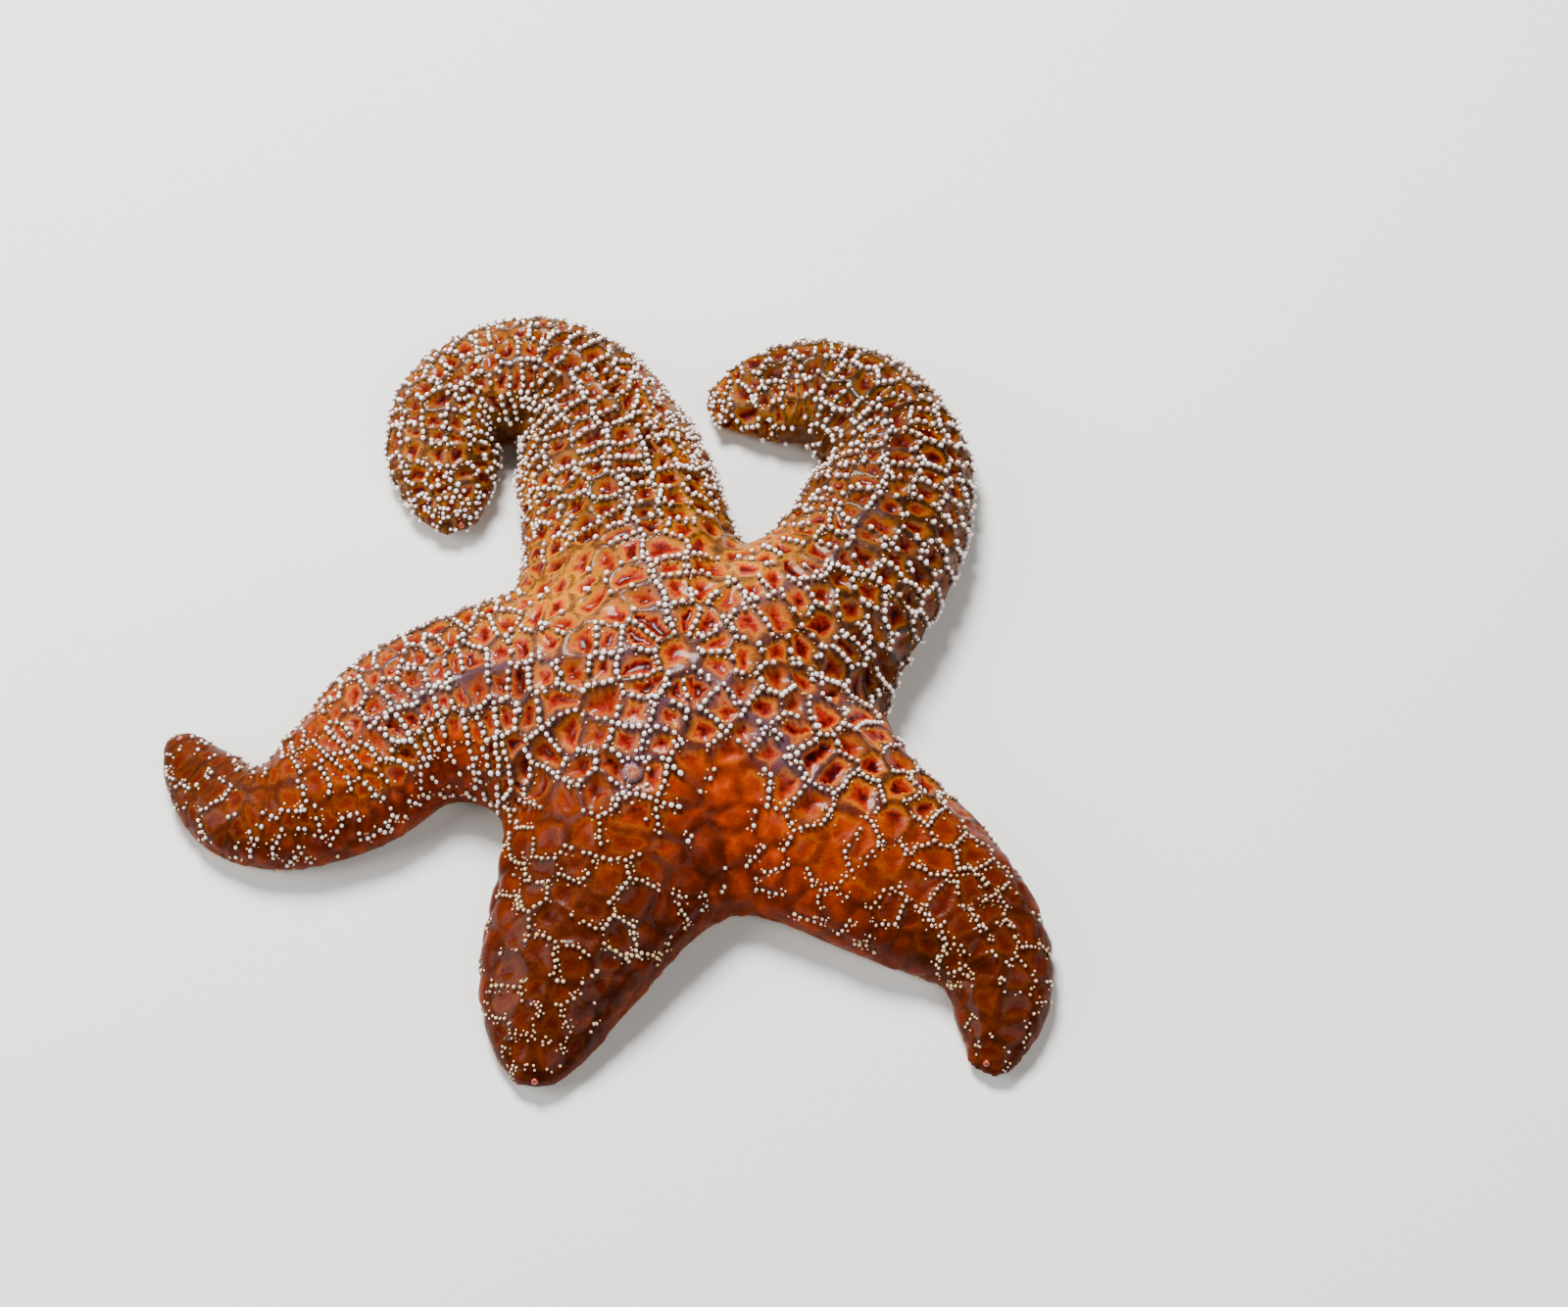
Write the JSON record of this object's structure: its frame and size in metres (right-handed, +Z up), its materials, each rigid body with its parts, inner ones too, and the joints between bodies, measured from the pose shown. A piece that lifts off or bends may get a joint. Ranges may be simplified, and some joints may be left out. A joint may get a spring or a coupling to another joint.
{
  "type": "ochre sea star",
  "caption": "Life-size ochre sea star lying flat, its orange arms thick and blunt, the two back arms curled, its back netted with rows of pale bead spines.",
  "frame": {"origin": "the middle of the underside: bottom centre of the whole animal's box, on the surface it rests on", "axes": "+Z up, +X to the right and +Y away from a viewer standing at the two front arms; the longest extent runs along +X"},
  "size_m": [0.1984, 0.1926, 0.0347],
  "materials": {
    "skin": "wet, glossy orange skin, leathery and netted with ridges",
    "spine": "pale grey-white calcite knobs, smooth and damp",
    "sieve_plate": "pinkish, finely grooved calcite",
    "mouth_membrane": "soft pale membrane, damp",
    "tube_foot": "soft translucent cream, damp",
    "eye_spot": "dark red pigment, damp"
  },
  "bodies": {
    "root": {"disc": "skin", "arm_back_right_root": "skin", "arm_back_right_middle": "skin", "arm_back_right_tip": "skin", "arm_back_left_root": "skin", "arm_back_left_middle": "skin", "arm_back_left_tip": "skin", "arm_left_root": "skin", "arm_left_tip": "skin", "arm_front_left_root": "skin", "arm_front_left_tip": "skin", "arm_front_right_root": "skin", "arm_front_right_tip": "skin", "madreporite": "sieve_plate", "mouth": "mouth_membrane", "tube_feet_back_right": "tube_foot", "tube_feet_back_left": "tube_foot", "tube_feet_left": "tube_foot", "tube_feet_front_left": "tube_foot", "tube_feet_front_right": "tube_foot", "eyespot_back_right": "eye_spot", "eyespot_back_left": "eye_spot", "eyespot_left": "eye_spot", "eyespot_front_left": "eye_spot", "eyespot_front_right": "eye_spot"}
  },
  "joints": []
}
